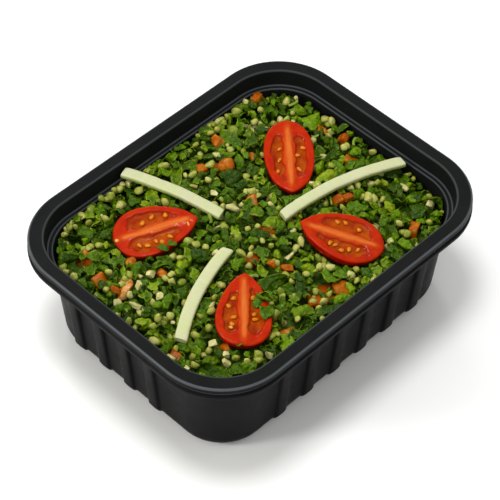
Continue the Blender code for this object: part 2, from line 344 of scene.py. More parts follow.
def tomato_surface():
    s = Surface("tomato_half", Specular_IOR_Level=0.05, Coat_Weight=0.07, Coat_Roughness=0.04,
                Subsurface_Weight=0.12, Subsurface_Scale=0.0015)
    s.shader.inputs["Subsurface Radius"].default_value = (1.0, 0.25, 0.1)
    skin = s.point("skin").outputs["Fac"]
    well = s.point("well").outputs["Fac"]
    core = s.point("core").outputs["Fac"]
    spot = s.point("spot").outputs["Vector"]
    streaks = s.node("ShaderNodeTexNoise", Vector=s.node(
        "ShaderNodeVectorMath", dict(operation="MULTIPLY"),
        i0=spot, i1=(0.2, 1.0, 1.0)).outputs[0], Scale=900.0, Detail=4.0).outputs["Fac"]
    cloud = s.noise(200.0, 4.0, vector=spot)
    wall = s.mix(s.spread(cloud, 0.3, 0.7), tone(158, 24, 0), tone(178, 42, 0))
    middle = s.mix(s.spread(streaks, 0.3, 0.7), tone(176, 54, 3), tone(196, 88, 22))
    gel = s.mix(s.spread(s.noise(260.0, 3.0, vector=spot), 0.3, 0.7), tone(136, 32, 0),
                tone(166, 72, 0))
    middle = s.mix(s.spread(core, 0.70, 1.0, 0.0, 0.42), middle, tone(208, 122, 54))
    rim = s.maths("MULTIPLY", s.spread(well, 0.05, 0.35), s.spread(well, 0.45, 0.85, 1.0, 0.0))
    flesh = s.mix(s.maths("POWER", core, 1.2), s.mix(well, wall, gel), middle)
    flesh = s.mix(s.maths("MULTIPLY", rim, 0.55), flesh, tone(118, 10, 0))
    peel = s.mix(s.spread(cloud, 0.3, 0.7), tone(140, 3, 1), tone(176, 10, 3))
    s.link(s.mix(skin, flesh, peel), "Base Color")
    wet = s.spread(s.noise(500.0, 3.0, vector=spot), 0.3, 0.7, 0.16, 0.34)
    wet = s.maths("SUBTRACT", wet, s.maths("MULTIPLY", well, 0.08))
    s.link(wet, "Roughness")
    height = s.maths("ADD", s.noise(1000.0, 3.0, vector=spot), s.maths("MULTIPLY", streaks, 0.5))
    height = s.maths("MULTIPLY", height, s.maths("SUBTRACT", 1.0, s.maths("MULTIPLY", skin, 0.9)))
    s.bump(height, 0.25, 0.0003)
    return s.material


def seed_surface():
    s = Surface("tomato_seed", Specular_IOR_Level=0.2, Subsurface_Weight=0.2,
                Subsurface_Scale=0.001)
    rise = s.point("rise").outputs["Fac"]
    amber = s.mix(s.spread(s.noise(700.0, 2.0), 0.3, 0.7), tone(182, 94, 0), tone(204, 128, 6))
    base = s.mix(s.spread(rise, 0.0, 0.5), tone(168, 54, 0), amber)
    s.link(s.mix(s.spread(rise, 0.55, 0.9), base, tone(218, 164, 96)), "Base Color")
    s.link(s.spread(s.noise(900.0), 0.3, 0.7, 0.15, 0.3), "Roughness")
    s.bump(s.noise(1200.0), 0.2, 0.0002)
    return s.material


# ---------------------------------------------------------------- tray

def rounded(corners, steps=4):
    """Turn (inset, height, radius) corners into profile points, with each radius as an arc."""
    points = []
    for i, (inset, height, radius) in enumerate(corners):
        corner = Vector((inset, height))
        if not radius:
            points.append(corner)
            continue
        before = (Vector(corners[i - 1][:2]) - corner).normalized()
        after = (Vector(corners[i + 1][:2]) - corner).normalized()
        half_angle = before.angle(after) / 2
        middle = corner + (before + after).normalized() * (radius / math.sin(half_angle))
        reach = radius / math.tan(half_angle)
        first = corner + before * reach - middle
        last = corner + after * reach - middle
        sweep = math.atan2(first.cross(last), first.dot(last))
        points += [middle + Matrix.Rotation(sweep * k / steps, 2) @ first for k in range(steps + 1)]
    return points


def corner_radius(inset):
    return CORNER_RADIUS - RADIUS_LOST_PER_INSET * inset


def rib_places(ribs):
    middle = (ribs["count"] - 1) / 2
    return [(k - middle) * ribs["pitch"] + ribs["shift"] for k in range(ribs["count"])]


def outline_spots(corner_steps=20):
    """Points round the tray as (side or corner number, place along it), anticlockwise from +X."""
    across = RIB_WIDTH * np.array([-0.60, -0.53, -0.50, -0.46, -0.43, -0.25, 0.0,
                                   0.25, 0.43, 0.46, 0.50, 0.53, 0.60])
    spots = []
    for quarter in range(4):
        for k in range(corner_steps + 1):
            spots.append(("corner", quarter, k / corner_steps))
        ribs = RIBS_LONG if quarter % 2 == 0 else RIBS_SHORT
        along = [rib + offset for rib in rib_places(ribs) for offset in across]
        for value in sorted(along):
            spots.append(("side", quarter, value))
    return spots


def outline_ring(spots, inset, ribs_out=0.0):
    """The tray's outline at an inset, standing out by ribs_out where a rib is."""
    half = (TRAY_LENGTH / 2 - inset, TRAY_WIDTH / 2 - inset)
    radius = corner_radius(inset)
    signs = ((1, 1), (-1, 1), (-1, -1), (1, -1))
    ring = []
    for kind, quarter, value in spots:
        sign_x, sign_y = signs[quarter]
        if kind == "corner":
            angle = math.pi / 2 * (quarter + value)
            ring.append((sign_x * (half[0] - radius) + radius * math.cos(angle),
                         sign_y * (half[1] - radius) + radius * math.sin(angle)))
            continue
        ribs = RIBS_LONG if quarter % 2 == 0 else RIBS_SHORT
        nearest = min(abs(value - rib) for rib in rib_places(ribs))
        edge = RIB_WIDTH / 2
        swell = float(1 - smoothstep(edge - 0.35 * MM, edge + 0.35 * MM, nearest))
        out = swell * (ribs_out + RIB_CROWN * (ribs_out > 0) * (1 - (nearest / edge) ** 2))
        side = half[quarter % 2 == 0] + out
        if quarter == 0:
            ring.append((-value, side))
        elif quarter == 1:
            ring.append((-side, -value))
        elif quarter == 2:
            ring.append((value, -side))
        else:
            ring.append((side, value))
    return ring


def guarded(points, gap=0.3 * MM):
    """Add a point close to each end of every long segment, so that shading stays crisp there."""
    out = [points[0]]
    for before, after in zip(points, points[1:]):
        length = (after - before).length
        if length > 4 * gap:
            out.append(before.lerp(after, gap / length))
            out.append(after.lerp(before, gap / length))
        out.append(after)
    return out


def tray_profile():
    """(inset, height) points from under the base, over the rim and down to the floor."""
    lip = TRAY_HEIGHT - SKIRT_HEIGHT
    under_rim = TRAY_HEIGHT - SHEET
    corners = (
        (WALL_FOOT_INSET + 2 * BASE_FILLET, 0, 0),
        (WALL_FOOT_INSET, 0, BASE_FILLET),
        (WALL_TOP_INSET, WALL_TOP, 0.3 * MM),
        (BAND_FOOT_INSET - SHEET, WALL_TOP + 0.1 * MM, 0.4 * MM),
        (RIM_WIDTH - SHEET, under_rim, 0.4 * MM),
        (1.2 * MM, under_rim, 0.4 * MM),
        (GROOVE_DEPTH + SHEET, lip + 2.7 * MM, 0),
        (SHEET, lip + 1.6 * MM, 0),
        (SHEET, lip, 0.2 * MM),
        (0, lip, 0.3 * MM),
        (0, lip + 1.6 * MM, 0.3 * MM),
        (GROOVE_DEPTH, lip + 2.3 * MM, 0.15 * MM),
        (GROOVE_DEPTH, lip + 3.1 * MM, 0.15 * MM),
        (0.2 * MM, lip + 3.7 * MM, 0.25 * MM),
        (0.2 * MM, TRAY_HEIGHT, 1.0 * MM),
        (RIM_WIDTH, TRAY_HEIGHT, 0.6 * MM),
        (BAND_FOOT_INSET, LEDGE_HEIGHT, 0.4 * MM),
        (LEDGE_INSET, LEDGE_HEIGHT - 0.1 * MM, 0.4 * MM),
        (WALL_FOOT_INSET + SHEET, SHEET, BASE_FILLET - SHEET),
        (WALL_FOOT_INSET + 2 * BASE_FILLET, SHEET, 0),
    )
    return guarded(rounded(corners))


def painted_edge_highlight(inset, height):
    """How strongly a fillet's highlight is painted as a thin light line round the tray, 0 to 1."""
    spots = ((RIM_WIDTH, TRAY_HEIGHT, 0.55, 0.45), (BAND_FOOT_INSET, LEDGE_HEIGHT, 0.5, 0.6),
             (LEDGE_INSET, LEDGE_HEIGHT - 0.1 * MM, 0.5, 0.6), (0.2 * MM, TRAY_HEIGHT, 0.75, 1.0),
             (GROOVE_DEPTH, TRAY_HEIGHT - 3.6 * MM, 0.35, 1.0))
    return max(strength * (math.hypot(inset - x, height - y) < reach * MM)
               for x, y, reach, strength in spots)


def rib_height(height):
    """How far a rib stands out of the outer wall at a height."""
    full = np.interp(height, (5.5 * MM, 26 * MM, 46 * MM), (1.3 * MM, 1.6 * MM, 2.0 * MM))
    low = smoothstep(1.0 * MM, 5.0 * MM, height)
    high = 1 - smoothstep(45.8 * MM, 47.4 * MM, height)
    return float(full * low * high)


def make_tray():
    spots = outline_spots()
    profile = tray_profile()
    rings = []
    wall_heights = [h * MM for h in (7.5, 12, 19, 26, 33, 40, 44, 45.6, 46.0, 46.4, 46.8, 47.2, 47.5)]
    on_outer_wall = True
    for k, point in enumerate(profile):
        inset, height = point
        if on_outer_wall and height > 40 * MM:
            foot, top = profile[k - 1], point
            for wall_height in wall_heights:
                part = (wall_height - foot.y) / (top.y - foot.y)
                rings.append(((foot.lerp(top, part)).x, wall_height, rib_height(wall_height)))
            on_outer_wall = False
        rings.append((inset, height, rib_height(height) if on_outer_wall else 0.0))
    around = len(spots)
    verts = [(*spot, height) for inset, height, out in rings
             for spot in outline_ring(spots, inset, out)]
    verts += [(0, 0, 0), (0, 0, SHEET)]
    # Strength of the painted highlight lines, kept on the points as the edge value.
    edge = [painted_edge_highlight(inset, height) for inset, height, _ in rings]
    values = {"edge": np.append(np.repeat(edge, around), [0, 0])}
    quads = ring_faces(len(rings), around)
    first, last = np.arange(around), (len(rings) - 1) * around + np.arange(around)
    faces = np.concatenate([triangles(quads), fan(len(verts) - 2, first, flip=True),
                            fan(len(verts) - 1, last)])
    tray = mesh_piece("black_tray", verts, faces, tray_surface(), values, sharp=40)
    place(tray, "tray", "tray")
    return tray


# ---------------------------------------------------------------- room inside the tray

def inner_inset(height):
    """Inset of the tray's inner wall, below and above its ledge."""
    slope = (WALL_FOOT_INSET + SHEET - LEDGE_INSET) / (LEDGE_HEIGHT - SHEET)
    low = LEDGE_INSET + slope * (LEDGE_HEIGHT - height)
    return np.where(height < LEDGE_HEIGHT + 0.2 * MM, low, BAND_FOOT_INSET)


def outside_wall(points):
    """Distance of points beyond the inner wall; negative inside the tray."""
    inset = inner_inset(points[..., 2])
    radius = CORNER_RADIUS - RADIUS_LOST_PER_INSET * inset
    qx = np.abs(points[..., 0]) - (TRAY_LENGTH / 2 - inset - radius)
    qy = np.abs(points[..., 1]) - (TRAY_WIDTH / 2 - inset - radius)
    beyond = np.hypot(np.maximum(qx, 0), np.maximum(qy, 0))
    return beyond + np.minimum(np.maximum(qx, qy), 0) - radius


def turn_of(half):
    return np.array(Euler([math.radians(half[way]) for way in ("roll", "pitch", "turn")])
                    .to_matrix())


def to_half(half, points):
    """Points in a tomato half's own frame: X towards its tip, Z out of its cut face."""
    return (points - np.array(half["middle"]) * MM) @ turn_of(half)


def half_width(half, along):
    """Half the tomato's width where along runs from -1 at the stem end to 1 at the tip."""
    power = half["point"] + TIP_SHARPNESS * smoothstep(0.7, 1.0, along)
    bulge = (1 - half["taper"] * along) * np.maximum(1 - along**2, 1e-6) ** power
    return half["width"] * MM / 2 * bulge


def over_tomato(half, points, margin):
    """True for points over the cut face, or inside the body below it."""
    local = to_half(half, points)
    along = local[..., 0] / (half["length"] * MM / 2 + margin)
    inside = np.abs(along) < 1
    wide = half_width(half, np.clip(along, -1, 1)) + margin
    return inside & (np.abs(local[..., 1]) < wide)


def strip_frame(strip):
    start = np.array(strip["start"]) * MM
    along = np.array(strip["end"]) * MM - start
    length = np.linalg.norm(along)
    turn = np.array(Euler((0, -math.asin(along[2] / length), math.atan2(along[1], along[0])))
                    .to_matrix())
    return start, turn, length


def over_strip(strip, points, margin):
    """True for points over a strip's underside."""
    start, turn, length = strip_frame(strip)
    local = (points - start) @ turn
    part = np.clip(local[..., 0] / length, 0, 1)
    bow = 4 * part * (1 - part) * strip["bow"] * MM
    near = (local[..., 0] > -margin) & (local[..., 0] < length + margin)
    near &= np.abs(local[..., 1] - bow) < STRIP_WIDTH / 2 + margin
    return near & (local[..., 2] > -STRIP_THICKNESS / 2 - margin)


# ---------------------------------------------------------------- the heap's relief

LOW_CORNER = (-78 * MM, 58 * MM)
CORNER_DIP = 4.5 * MM  # the salad lies lower in this corner


def heap_sampler():
    """Height of the CAD heap over any spot, with its topping hollows bridged."""
    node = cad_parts["salad_heap"]
    mesh = node.data
    tree = BVHTree.FromPolygons([v.co[:] for v in mesh.vertices],
                                [tuple(p.vertices) for p in mesh.polygons])
    cell = 2.0 * MM
    nx, ny = 84, 66
    grid = np.full((nx, ny), np.nan)
    for i in range(nx):
        for j in range(ny):
            spot = np.array([(i - nx / 2) * cell, (j - ny / 2) * cell, 48 * MM])
            if any(over_tomato(half, spot, 1.0 * MM) for half in TOMATO_HALVES):
                continue
            if any(over_strip(strip, spot + [0, 0, 4 * MM], 0.6 * MM) for strip in STRIPS):
                continue
            hit = tree.ray_cast(Vector((spot[0], spot[1], 2 * TRAY_HEIGHT)), Vector((0, 0, -1)))
            if hit[0] is not None and hit[0].z > TRAY_HEIGHT / 2:
                grid[i, j] = hit[0].z
    for _ in range(40):
        empty = np.isnan(grid)
        if not empty.any():
            break
        padded = np.pad(grid, 1, constant_values=np.nan)
        around = np.stack([padded[1 + a:1 + a + nx, 1 + b:1 + b + ny]
                           for a in (-1, 0, 1) for b in (-1, 0, 1) if a or b])
        known = ~np.isnan(around)
        total = np.where(known, around, 0).sum(axis=0)
        count = known.sum(axis=0)
        fill = empty & (count > 0)
        grid[fill] = total[fill] / count[fill]

    def height(x, y):
        u = np.clip(np.asarray(x) / cell + nx / 2, 0, nx - 1.001)
        v = np.clip(np.asarray(y) / cell + ny / 2, 0, ny - 1.001)
        i, j = u.astype(int), v.astype(int)
        a, b = u - i, v - j
        level = ((1 - a) * (1 - b) * grid[i, j] + a * (1 - b) * grid[i + 1, j]
                 + (1 - a) * b * grid[i, j + 1] + a * b * grid[i + 1, j + 1])
        away = np.hypot(np.asarray(x) - LOW_CORNER[0], np.asarray(y) - LOW_CORNER[1])
        return level - CORNER_DIP * (1 - smoothstep(8 * MM, 28 * MM, away))

    return height


heap_height = heap_sampler()
CORE_DROP = 4.6 * MM
BACK_RISE = 3.0 * MM  # the salad stands higher along the far long wall


def make_core():
    """Dark relief under the loose pieces, down to the tray's floor."""
    spots = [("corner", q, k / 12) for q in range(4) for k in range(13)]
    rings = []
    profile = rounded(((WALL_FOOT_INSET + SHEET + 0.8 * MM, SHEET + 0.6 * MM, 0),
                       (float(inner_inset(np.array(30 * MM))) + 0.8 * MM, 30 * MM, 0)))
    for inset, height in profile:
        rings.append([(*spot, height) for spot in outline_ring(spots, inset)])
    edge = outline_ring(spots, float(inner_inset(np.array(43 * MM))) + 0.8 * MM)
    levels = 30
    for k in range(levels):
        part = 1 - k / levels
        ring = []
        for x, y in edge:
            x, y = x * part, y * part
            rough = noise.noise(Vector((x, y, 0)) / (4 * MM)) * 0.9 * MM
            ring.append((x, y, float(heap_height(x, y)) - CORE_DROP + rough))
        rings.append(ring)
    around = len(spots)
    verts = [point for ring in rings for point in ring]
    verts += [(0, 0, SHEET + 0.6 * MM), (0, 0, float(heap_height(0, 0)) - CORE_DROP)]
    last = (len(rings) - 1) * around + np.arange(around)
    faces = np.concatenate([triangles(ring_faces(len(rings), around)),
                            fan(len(verts) - 2, np.arange(around), flip=True),
                            fan(len(verts) - 1, last)])
    core = mesh_piece("salad_core", verts, faces, core_surface())
    place(core, "salad", "salad_heap")
    return core


# ---------------------------------------------------------------- loose pieces

def turns(rng, count, tilt_spread):
    """Random turns whose up direction leans from the vertical by a spread of degrees."""
    lean = np.radians(np.clip(np.abs(rng.normal(0, tilt_spread, count)), 0, 88))
    heading = rng.uniform(0, 2 * np.pi, count)
    spin = rng.uniform(0, 2 * np.pi, count)
    out = np.empty((count, 3, 3))
    for k in range(count):
        axis = Vector((math.cos(heading[k]), math.sin(heading[k]), 0))
        turn = Matrix.Rotation(lean[k], 3, axis) @ Matrix.Rotation(spin[k], 3, "Z")
        out[k] = np.array(turn)
    return out


LEAF_AROUND = 18
LEAF_RINGS = np.array([0.24, 0.46, 0.66, 0.85, 1.0])


def leaf_template():
    """Triangles of a closed leaf: a top and an underside that share their outer ring."""
    around, rings = LEAF_AROUND, len(LEAF_RINGS)

    def side(first_middle, first_ring, outer, flip):
        numbers = [first_ring + k * around + np.arange(around) for k in range(rings - 1)]
        numbers.append(outer + np.arange(around))
        parts = [fan(first_middle, numbers[0], flip)]
        for inner, after in zip(numbers, numbers[1:]):
            a, b = inner, np.roll(inner, -1)
            c, d = np.roll(after, -1), after
            quads = np.stack([a, d, c, b] if not flip else [a, b, c, d], axis=1)
            parts.append(triangles(quads))
        return np.concatenate(parts)

    per_side = (rings - 1) * around
    outer = 2 + 2 * per_side
    return np.concatenate([side(0, 2, outer, False), side(1, 2 + per_side, outer, True)])


def leaves(rng, count, size_mm, thickness=0.30):
    """Chopped leaf pieces: lobed or cut outlines, cupped, wrinkled, frilled and rolled."""
    around = LEAF_AROUND

    def each(low, high):
        return rng.uniform(low, high, (count, 1))

    def some(share):
        return rng.random((count, 1)) < share

    theta = (np.arange(around) * 2 * np.pi / around)[None]
    size = size_mm * MM / 2
    aspect = each(0.5, 1.0)
    power = each(1.6, 3.2)
    cos, sin = np.cos(theta), np.sin(theta)
    radius = (np.abs(cos) ** power + np.abs(sin / aspect) ** power) ** (-1 / power)
    lobes = rng.integers(3, 7, (count, 1))
    radius = radius * (1 + each(0.0, 0.28) * some(0.75) * np.cos(lobes * theta + each(0, 6)))
    radius = radius * (1 + rng.normal(0, 0.055, (count, around)))
    edge_x, edge_y = radius * cos, radius * sin
    edge_x = np.minimum(edge_x, np.where(some(0.35), each(0.3, 0.95), 9.0))

    flat_x = np.concatenate([np.zeros((count, 1))] + [r * edge_x for r in LEAF_RINGS], axis=1)
    flat_y = np.concatenate([np.zeros((count, 1))] + [r * edge_y for r in LEAF_RINGS], axis=1)
    rim = np.concatenate([[0.0], np.repeat(LEAF_RINGS, around)])[None] * np.ones((count, 1))
    reach = np.hypot(flat_x, flat_y)
    spread = np.arctan2(flat_y, flat_x)

    x = flat_x * size[:, None]
    y = flat_y * size[:, None]
    cup = np.clip(rng.normal(0.45, 0.38, (count, 1)), -0.5, 1.1)
    z = -cup * size[:, None] * reach**2
    z = z + each(0, 0.6) * some(0.4) * np.abs(y)
    for _ in range(3):
        wave = 2 * np.pi / (each(1.9, 3.8) * MM)
        way = each(0, np.pi)
        z = z + each(0.10, 0.34) * MM * np.sin(
            wave * (x * np.cos(way) + y * np.sin(way)) + each(0, 6))
    for _ in range(2):
        wave = 2 * np.pi / (each(1.3, 1.9) * MM)
        way = each(0, np.pi)
        z = z + each(0.05, 0.13) * MM * np.sin(
            wave * (x * np.cos(way) + y * np.sin(way)) + each(0, 6))
    z = z + each(0.08, 0.34) * size[:, None] * reach**2.5 * np.sin(
        rng.integers(2, 6, (count, 1)) * spread + each(0, 6))

    heading = each(0, np.pi)
    u = x * np.cos(heading) + y * np.sin(heading)
    v = -x * np.sin(heading) + y * np.cos(heading)
    bend = 1 / (np.exp(each(math.log(2.0), math.log(8.0))) * MM)
    bend = bend * np.where(some(0.65), -1, 1)
    angle = np.clip(bend * u, -2.2, 2.2)
    middle = np.stack([np.sin(angle) / bend - z * np.sin(angle), v,
                       (1 - np.cos(angle)) / bend + z * np.cos(angle)], axis=-1)
    normal = np.stack([-np.sin(angle), np.zeros_like(angle), np.cos(angle)], axis=-1)
    half = thickness * MM / 2
    inner = (len(LEAF_RINGS) - 1) * around

    def arranged(top, bottom, outer):
        return np.concatenate([top[:, :1], bottom[:, :1], top[:, 1:1 + inner],
                               bottom[:, 1:1 + inner], outer[:, 1 + inner:]], axis=1)

    # The flat place and ring position of each point; the ring position sets where the leaf surface paints its
    # rim highlight.
    flat = np.stack([flat_x, flat_y, rim], axis=-1)
    return arranged(middle + half * normal, middle - half * normal, middle), arranged(flat, flat, flat)


def ball(subdivisions):
    bm = bmesh.new()
    bmesh.ops.create_icosphere(bm, subdivisions=subdivisions, radius=1)
    verts = np.array([v.co[:] for v in bm.verts])
    faces = np.array([[v.index for v in f.verts] for f in bm.faces])
    bm.free()
    return verts, faces


def box_template(steps):
    """Points and triangles of a cube from -1 to 1 with a grid on each side."""
    bm = bmesh.new()
    bmesh.ops.create_cube(bm, size=2)
    bmesh.ops.subdivide_edges(bm, edges=bm.edges[:], cuts=steps, use_grid_fill=True)
    bmesh.ops.triangulate(bm, faces=bm.faces[:])
    bm.normal_update()
    verts = np.array([v.co[:] for v in bm.verts])
    faces = np.array([[v.index for v in f.verts] for f in bm.faces])
    bm.free()
    return verts, faces


BALL_BASE, BALL_FACES = ball(2)
DICE_BASE, DICE_FACES = box_template(4)


def shaved(rng, verts, planes, low, high):
    """Flatten each shape against a few random planes, as a knife or a mill leaves it."""
    count = len(verts)
    for _ in range(planes):
        way = rng.normal(0, 1, (count, 3))
        way /= np.linalg.norm(way, axis=1, keepdims=True)
        depth = rng.uniform(low, high, (count, 1))
        over = np.maximum(np.einsum("nvi,ni->nv", verts, way) - depth, 0)
        verts = verts - over[..., None] * way[:, None, :]
    return verts


def lumpy(rng, verts, amount):
    count = len(verts)
    wave = rng.normal(0, 1, (count, 3, 3))
    swell = np.sin(np.einsum("nvi,nik->nvk", verts, wave) * 1.7 + rng.uniform(0, 6, (count, 1, 3)))
    return verts * (1 + amount * swell.sum(axis=2, keepdims=True))


def grains(rng, count, size_mm):
    """Plump bulgur grains, a little lumpy, with broken flats."""
    verts = np.repeat(BALL_BASE[None], count, axis=0)
    verts = shaved(rng, lumpy(rng, verts, 0.10), 6, 0.55, 0.92)
    scale = size_mm[:, None] * MM / 2 * np.stack(
        [rng.uniform(1.0, 1.2, count), rng.uniform(0.8, 1.0, count),
         rng.uniform(0.7, 0.9, count)], axis=1)
    return verts * scale[:, None, :]


def dice(rng, count, size_mm, flatness=(0.5, 0.85)):
    """Cut cubes with soft corners, skewed and shaved as a knife leaves them."""
    norm = (np.abs(DICE_BASE) ** 12).sum(axis=1, keepdims=True) ** (1 / 12)
    verts = np.repeat((DICE_BASE / norm)[None], count, axis=0)
    skew = rng.normal(0, 0.13, (count, 3, 3)) + np.eye(3)
    verts = np.einsum("nvi,nij->nvj", verts, skew)
    verts = shaved(rng, lumpy(rng, verts, 0.05), 4, 0.8, 1.2)
    scale = size_mm[:, None] * MM / 2 * np.stack(
        [np.ones(count), rng.uniform(0.6, 0.95, count), rng.uniform(*flatness, count)], axis=1)
    return verts * scale[:, None, :]


TUBE_AROUND, TUBE_STEPS = 8, 9


def tube_template():
    last = (TUBE_STEPS - 1) * TUBE_AROUND + np.arange(TUBE_AROUND)
    count = TUBE_STEPS * TUBE_AROUND
    return np.concatenate([triangles(ring_faces(TUBE_STEPS, TUBE_AROUND)),
                           fan(count, np.arange(TUBE_AROUND), flip=True), fan(count + 1, last)])


def stems(rng, count):
    """Short cut lengths of stem, grooved, a little bent, with square ends."""
    part = np.linspace(-1, 1, TUBE_STEPS)[None, :, None]
    angle = (np.arange(TUBE_AROUND) * 2 * np.pi / TUBE_AROUND)[None, None, :]
    length = rng.uniform(3.0, 7.5, (count, 1, 1)) * MM / 2
    thick = rng.uniform(0.5, 1.0, (count, 1, 1)) * MM
    groove = 1 + 0.10 * np.cos(4 * angle) + 0.08 * part * rng.normal(0, 1, (count, 1, 1))
    bend = rng.uniform(-0.35, 0.35, (count, 1, 1))
    x = part * length * np.ones_like(angle)
    y = thick * groove * np.cos(angle) + bend * length * part**2
    z = thick * groove * np.sin(angle) * 0.8 * np.ones_like(part)
    rings = np.stack([x, y, z], axis=-1)
    ends = np.stack([rings[:, 0].mean(axis=1), rings[:, -1].mean(axis=1)], axis=1)
    return np.concatenate([rings.reshape(count, -1, 3), ends], axis=1)


class Heap:
    """Height map of the salad, on which pieces come to rest one at a time."""

    def __init__(self, toppings):
        self.cell = 0.6 * MM
        self.nx = int(TRAY_LENGTH / self.cell) + 2
        self.ny = int(TRAY_WIDTH / self.cell) + 2
        x = (np.arange(self.nx) - self.nx / 2 + 0.5) * self.cell
        y = (np.arange(self.ny) - self.ny / 2 + 0.5) * self.cell
        gx, gy = np.meshgrid(x, y, indexing="ij")
        self.goal = heap_height(gx, gy)
        self.top = self.goal - CORE_DROP
        self.ceiling = np.full(self.goal.shape, 1.0)
        trees = [BVHTree.FromObject(piece, bpy.context.evaluated_depsgraph_get())
                 for piece in toppings]
        for i in range(self.nx):
            for j in range(self.ny):
                for tree in trees:
                    hit = tree.ray_cast(Vector((x[i], y[j], 0)), Vector((0, 0, 1)))[0]
                    if hit is not None:
                        self.ceiling[i, j] = min(self.ceiling[i, j], hit.z)
        self.goal = self.goal + BACK_RISE * smoothstep(0.68, 0.84, gy / (TRAY_WIDTH / 2))
        spots = np.stack([gx, gy, self.goal], axis=-1)
        self.goal = np.minimum(self.goal, self.ceiling - 0.3 * MM)
        inside = (outside_wall(spots) < -0.8 * MM) & (self.goal > self.top)
        self.spots = np.argwhere(inside)

    def cells(self, points):
        i = np.clip((points[:, 0] / self.cell + self.nx / 2).astype(int), 0, self.nx - 2)
        j = np.clip((points[:, 1] / self.cell + self.ny / 2).astype(int), 0, self.ny - 2)
        return i, j

    def lowest_spot(self, rng, tries):
        """Of a few random free spots, the one that lies deepest below the heap's outline."""
        picks = self.spots[rng.integers(0, len(self.spots), tries)]
        room = (self.goal - self.top)[picks[:, 0], picks[:, 1]]
        i, j = picks[np.argmax(room)]
        return np.array([(i - self.nx / 2 + rng.random()) * self.cell,
                         (j - self.ny / 2 + rng.random()) * self.cell, 0])

    def drop(self, shape, spot, sink):
        """Lower a shape onto the heap; returns its points, or None where it can't lie."""
        points = shape + spot
        for _ in range(3):
            i, j = self.cells(points)
            rest = np.max(self.top[i, j] - points[:, 2])
            points = points + [0, 0, rest - sink]
            over = outside_wall(points) + 0.2 * MM
            worst = over.max()
            if worst <= 0:
                break
            corner = points[over.argmax()]
            inward = -corner[:2] / np.array([TRAY_LENGTH, TRAY_WIDTH]) ** 6 * np.abs(corner[:2]) ** 4
            points[:, :2] += inward / np.linalg.norm(inward) * (worst + 0.1 * MM)
        i, j = self.cells(points)
        if (outside_wall(points) > -0.15 * MM).any():
            return None
        if (points[:, 2] > self.ceiling[i, j] - 0.1 * MM).any():
            return None
        return points

    def settle(self, points):
        i, j = self.cells(points)
        for a in (0, 1):
            for b in (0, 1):
                np.maximum.at(self.top, (i + a, j + b), points[:, 2])


def joined(name, shapes, template, surface, values, sharp=None, slot="salad"):
    """One mesh of many copies of a template, with a value or a vector for each point."""
    per_shape = shapes[0].shape[0]
    verts = np.concatenate(shapes)
    faces = np.concatenate([template + k * per_shape for k in range(len(shapes))])
    piece = mesh_piece(name, verts, faces, surface, values, sharp)
    place(piece, slot)
    return piece


# Larger tomato dice that show between the toppings: x, y and size in millimetres
DICE_SPOTS = ((-3, -44, 10.5), (4, -49, 7.5), (-59, 38, 9.6), (5, -4, 7.2), (9, 10, 8.6),
              (-12, -12, 6.8), (-28, -49, 6.4), (-61, 14, 6.2), (61, -1, 6.2), (27, 48, 7.4),
              (51, -47, 5.2), (39, -14, 4.8), (-71, -27, 4.4), (-53, -37, 4.2), (8, 40, 5.0),
              (14, 36, 4.6), (-45, 8, 5.2), (-66, 24, 6.0), (-50, 22, 5.0), (66, 22, 5.4))


# Leaf scraps lying on the toppings: x, y, size in millimetres, turn in degrees
SCRAPS = ((-36.0, 17.4, 4.8, 20), (-32.0, 16.0, 3.4, 80), (-26.2, -34.0, 7.0, 10),
          (-30.2, -38.2, 5.4, 60), (-26.4, -37.6, 6.6, -40), (-29.6, -32.4, 5.0, 100),
          (-50.2, -43.0, 2.6, 45), (-10.8, 16.6, 3.6, 0), (-66.2, -25.6, 4.0, 30))

SCRAP_SPREAD = 1.45
SCRAP_SEED = 3


def make_scraps(rng, toppings):
    """Shapes of leaf scraps, each laid on the topping under it."""
    count = len(SCRAPS)
    shapes, flat = leaves(rng, count, np.array([scrap[2] for scrap in SCRAPS]) * SCRAP_SPREAD)
    trees = [BVHTree.FromObject(piece, bpy.context.evaluated_depsgraph_get())
             for piece in toppings]
    laid = []
    for shape, (x, y, size, heading) in zip(shapes, SCRAPS):
        above = Vector((x * MM, y * MM, 2 * TRAY_HEIGHT))
        hits = [tree.ray_cast(above, Vector((0, 0, -1)))[0] for tree in trees]
        ground = max([hit.z for hit in hits if hit is not None], default=float(heap_height(*above[:2])))
        turn = np.array(Matrix.Rotation(math.radians(heading), 3, "Z")
                        @ Matrix.Rotation(math.radians(rng.normal(0, 9)), 3, "X"))
        shape = shape @ turn.T
        low = np.percentile(shape[:, 2], 12)
        laid.append(shape + np.array([x * MM, y * MM, ground - low + 0.1 * MM]))
    return laid, flat


